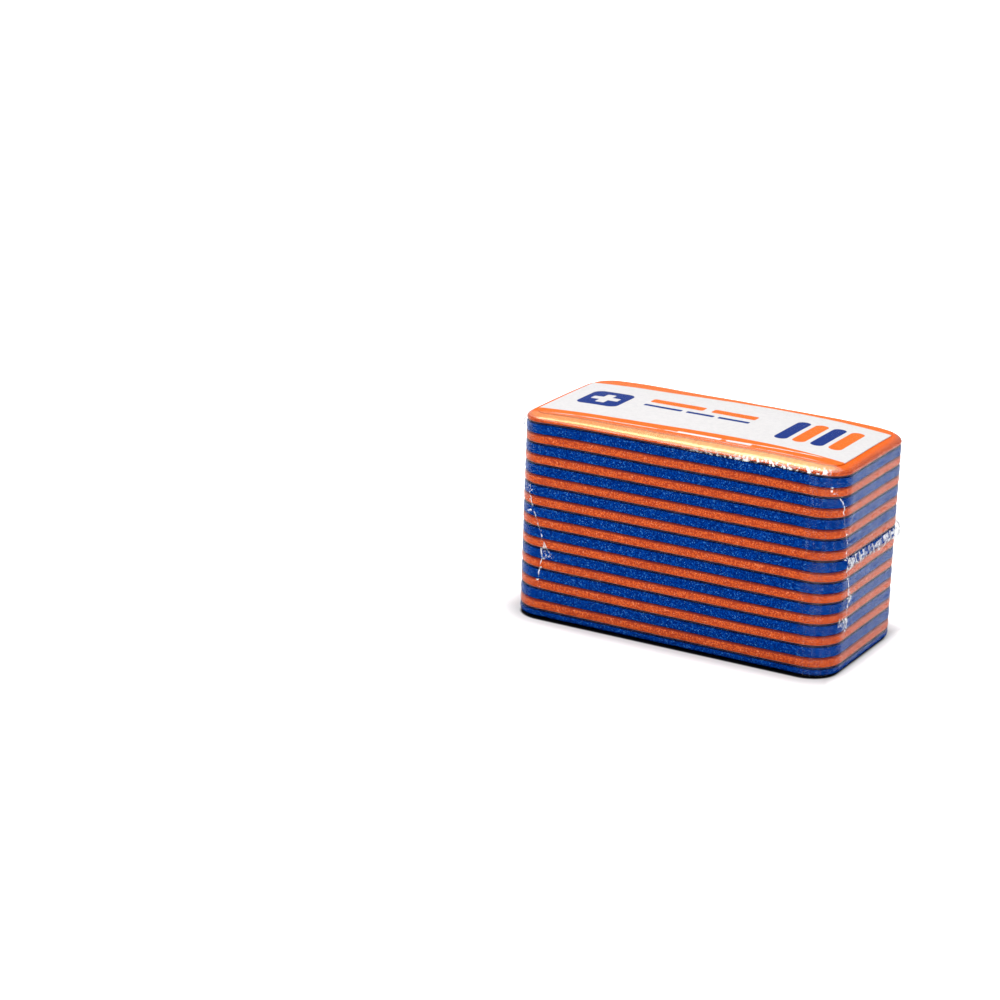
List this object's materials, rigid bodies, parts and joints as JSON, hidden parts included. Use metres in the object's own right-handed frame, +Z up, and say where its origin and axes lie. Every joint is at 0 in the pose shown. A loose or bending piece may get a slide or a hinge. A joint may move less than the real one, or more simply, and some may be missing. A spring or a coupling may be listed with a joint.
{
  "type": "finger splint pack",
  "caption": "Shrink-wrapped stack of flat padded finger splints with orange and blue foam on a metal core, under a plain printed card and clear film.",
  "frame": {"origin": "on the surface that the pack lies on, under the middle of the whole pack", "axes": "+X along the splints, +Y towards the long side with the film's weld, +Z up, out of the card"},
  "size_m": [0.0994, 0.05, 0.0587],
  "materials": {
    "orange_foam": "fine closed-cell foam, matt",
    "blue_foam": "fine closed-cell foam, matt",
    "metal_core": "soft rolled sheet",
    "printed_card": "coated white card printed in orange and dark blue",
    "clear_film": "clear shrink film, glossy, crinkled at the weld and corners"
  },
  "bodies": {
    "root": {"splint_01_blue_foam": "blue_foam", "splint_01_metal_core": "metal_core", "splint_01_orange_foam": "orange_foam", "splint_02_blue_foam": "blue_foam", "splint_02_metal_core": "metal_core", "splint_02_orange_foam": "orange_foam", "splint_03_blue_foam": "blue_foam", "splint_03_metal_core": "metal_core", "splint_03_orange_foam": "orange_foam", "splint_04_blue_foam": "blue_foam", "splint_04_metal_core": "metal_core", "splint_04_orange_foam": "orange_foam", "splint_05_blue_foam": "blue_foam", "splint_05_metal_core": "metal_core", "splint_05_orange_foam": "orange_foam", "splint_06_blue_foam": "blue_foam", "splint_06_metal_core": "metal_core", "splint_06_orange_foam": "orange_foam", "splint_07_blue_foam": "blue_foam", "splint_07_metal_core": "metal_core", "splint_07_orange_foam": "orange_foam", "splint_08_blue_foam": "blue_foam", "splint_08_metal_core": "metal_core", "splint_08_orange_foam": "orange_foam", "splint_09_blue_foam": "blue_foam", "splint_09_metal_core": "metal_core", "splint_09_orange_foam": "orange_foam", "splint_10_blue_foam": "blue_foam", "splint_10_metal_core": "metal_core", "splint_10_orange_foam": "orange_foam", "label_card": "printed_card", "film_wrap": "clear_film"}
  },
  "joints": []
}
